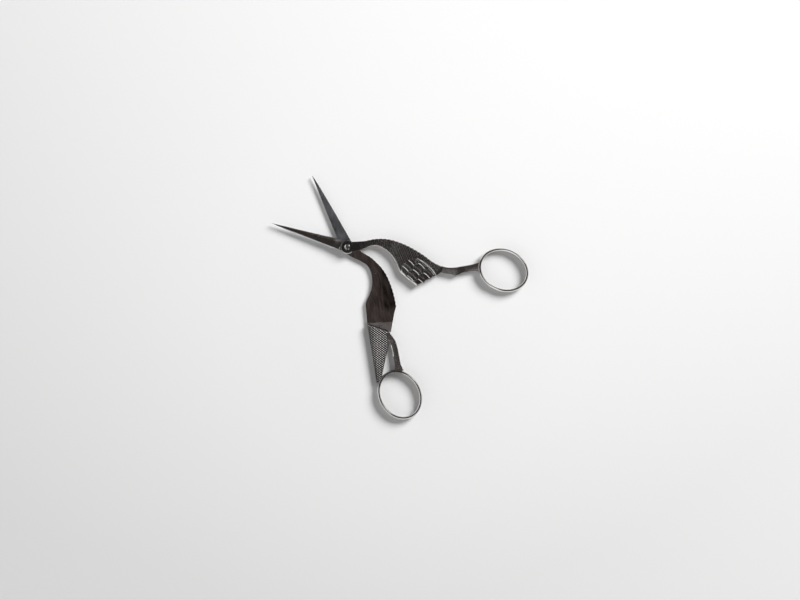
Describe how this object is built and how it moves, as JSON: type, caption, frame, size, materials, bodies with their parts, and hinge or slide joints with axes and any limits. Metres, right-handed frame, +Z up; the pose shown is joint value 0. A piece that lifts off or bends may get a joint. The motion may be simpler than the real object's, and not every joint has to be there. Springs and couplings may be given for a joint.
{
  "type": "embroidery scissors",
  "caption": "Small stork-shaped embroidery scissors: half-lapped steel halves with beak blades, a feathered wing and oval finger rings on a pivot screw.",
  "frame": {"origin": "on the pivot screw's axis, in the plane that the scissors lie on", "axes": "+Z up along the pivot screw's axis, from the back half to the front half; +Y towards the blades' tips, halfway between them; +X towards the front half's finger ring"},
  "size_m": [0.0907, 0.1034, 0.004],
  "materials": {
    "back_steel": "polished steel, darkened in the relief",
    "front_steel": "polished steel, darkened in the relief",
    "screw_steel": "bright polished steel"
  },
  "bodies": {
    "back_body": {"back_half": "back_steel", "pivot_screw": "screw_steel"},
    "front_body": {"front_half": "front_steel"}
  },
  "joints": [
    {"name": "pivot", "type": "hinge", "parent": "back_body", "child": "front_body", "pos_m": [0, 0, 0.0019], "axis": [0, 0, 1], "range_deg": [-46, 118]}
  ]
}
